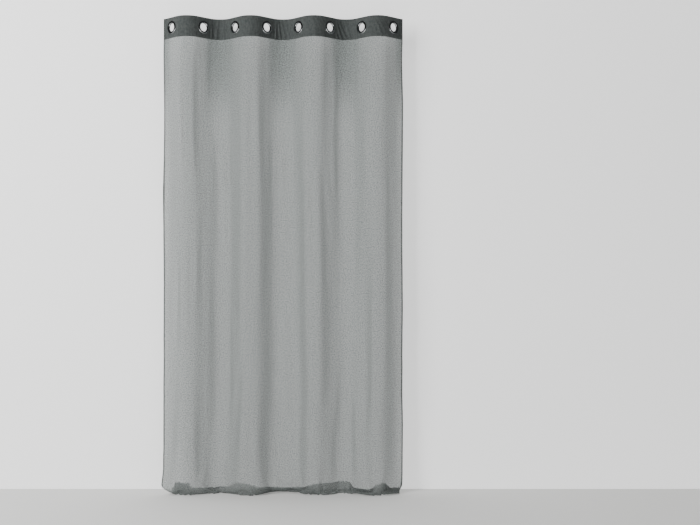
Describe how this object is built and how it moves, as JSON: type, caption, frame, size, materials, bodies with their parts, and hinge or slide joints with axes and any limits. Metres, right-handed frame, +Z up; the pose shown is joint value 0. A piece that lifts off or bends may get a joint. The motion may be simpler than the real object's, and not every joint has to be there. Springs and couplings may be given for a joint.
{
  "type": "eyelet curtain panel",
  "caption": "Floor-length sheer voile curtain panel with side and bottom hems, under a stiffened opaque header band hung in an even wave from round chrome eyelets.",
  "frame": {"origin": "on the line through the eight eyelets' centres, half way along the panel", "axes": "+X along the pole, to the right as seen from the room; -Y into the room; +Z up"},
  "size_m": [1.1804, 0.0894, 2.336],
  "materials": {
    "header_cloth": "matte",
    "voile_cloth": "matte",
    "hem_cloth": "matte",
    "buckram_tape": "matte",
    "chrome_ring": "polished"
  },
  "bodies": {
    "root": {"left_header_end": "header_cloth", "left_buckram_end": "buckram_tape", "left_edge_voile": "voile_cloth", "left_side_hem": "hem_cloth", "left_bottom_hem": "hem_cloth"},
    "station_1": {"header_1": "header_cloth", "buckram_1": "buckram_tape", "eyelet_1_front_ring": "chrome_ring", "eyelet_1_back_ring": "chrome_ring", "voile_1": "voile_cloth", "bottom_hem_1": "hem_cloth"},
    "station_2": {"header_2": "header_cloth", "buckram_2": "buckram_tape", "eyelet_2_front_ring": "chrome_ring", "eyelet_2_back_ring": "chrome_ring", "voile_2": "voile_cloth", "bottom_hem_2": "hem_cloth"},
    "station_3": {"header_3": "header_cloth", "buckram_3": "buckram_tape", "eyelet_3_front_ring": "chrome_ring", "eyelet_3_back_ring": "chrome_ring", "voile_3": "voile_cloth", "bottom_hem_3": "hem_cloth"},
    "station_4": {"header_4": "header_cloth", "buckram_4": "buckram_tape", "eyelet_4_front_ring": "chrome_ring", "eyelet_4_back_ring": "chrome_ring", "voile_4": "voile_cloth", "bottom_hem_4": "hem_cloth"},
    "station_5": {"header_5": "header_cloth", "buckram_5": "buckram_tape", "eyelet_5_front_ring": "chrome_ring", "eyelet_5_back_ring": "chrome_ring", "voile_5": "voile_cloth", "bottom_hem_5": "hem_cloth"},
    "station_6": {"header_6": "header_cloth", "buckram_6": "buckram_tape", "eyelet_6_front_ring": "chrome_ring", "eyelet_6_back_ring": "chrome_ring", "voile_6": "voile_cloth", "bottom_hem_6": "hem_cloth"},
    "station_7": {"header_7": "header_cloth", "buckram_7": "buckram_tape", "eyelet_7_front_ring": "chrome_ring", "eyelet_7_back_ring": "chrome_ring", "voile_7": "voile_cloth", "bottom_hem_7": "hem_cloth"},
    "station_8": {"header_8": "header_cloth", "buckram_8": "buckram_tape", "eyelet_8_front_ring": "chrome_ring", "eyelet_8_back_ring": "chrome_ring", "voile_8": "voile_cloth", "bottom_hem_8": "hem_cloth", "right_side_hem": "hem_cloth"}
  },
  "joints": [
    {"name": "station_1_turn", "type": "hinge", "parent": "root", "child": "station_1", "pos_m": [-0.54263, 0, 0], "axis": [0, 0, -1], "range_deg": [-5, 48]},
    {"name": "crest_1_fold", "type": "hinge", "parent": "station_1", "child": "station_2", "pos_m": [-0.46511, -0.04169, 0], "axis": [0, 0, -1], "range_deg": [-96, 10]},
    {"name": "crest_2_fold", "type": "hinge", "parent": "station_2", "child": "station_3", "pos_m": [-0.31008, 0.04169, 0], "axis": [0, 0, -1], "range_deg": [-10, 96]},
    {"name": "crest_3_fold", "type": "hinge", "parent": "station_3", "child": "station_4", "pos_m": [-0.15504, -0.04169, 0], "axis": [0, 0, -1], "range_deg": [-96, 10]},
    {"name": "crest_4_fold", "type": "hinge", "parent": "station_4", "child": "station_5", "pos_m": [0, 0.04169, 0], "axis": [0, 0, -1], "range_deg": [-10, 96]},
    {"name": "crest_5_fold", "type": "hinge", "parent": "station_5", "child": "station_6", "pos_m": [0.15504, -0.04169, 0], "axis": [0, 0, -1], "range_deg": [-96, 10]},
    {"name": "crest_6_fold", "type": "hinge", "parent": "station_6", "child": "station_7", "pos_m": [0.31008, 0.04169, 0], "axis": [0, 0, -1], "range_deg": [-10, 96]},
    {"name": "crest_7_fold", "type": "hinge", "parent": "station_7", "child": "station_8", "pos_m": [0.46511, -0.04169, 0], "axis": [0, 0, -1], "range_deg": [-96, 10]}
  ],
  "couplings": [
    {"joint": "crest_1_fold", "follows": "station_1_turn", "ratio": -2},
    {"joint": "crest_2_fold", "follows": "station_1_turn", "ratio": 2},
    {"joint": "crest_3_fold", "follows": "station_1_turn", "ratio": -2},
    {"joint": "crest_4_fold", "follows": "station_1_turn", "ratio": 2},
    {"joint": "crest_5_fold", "follows": "station_1_turn", "ratio": -2},
    {"joint": "crest_6_fold", "follows": "station_1_turn", "ratio": 2},
    {"joint": "crest_7_fold", "follows": "station_1_turn", "ratio": -2}
  ]
}
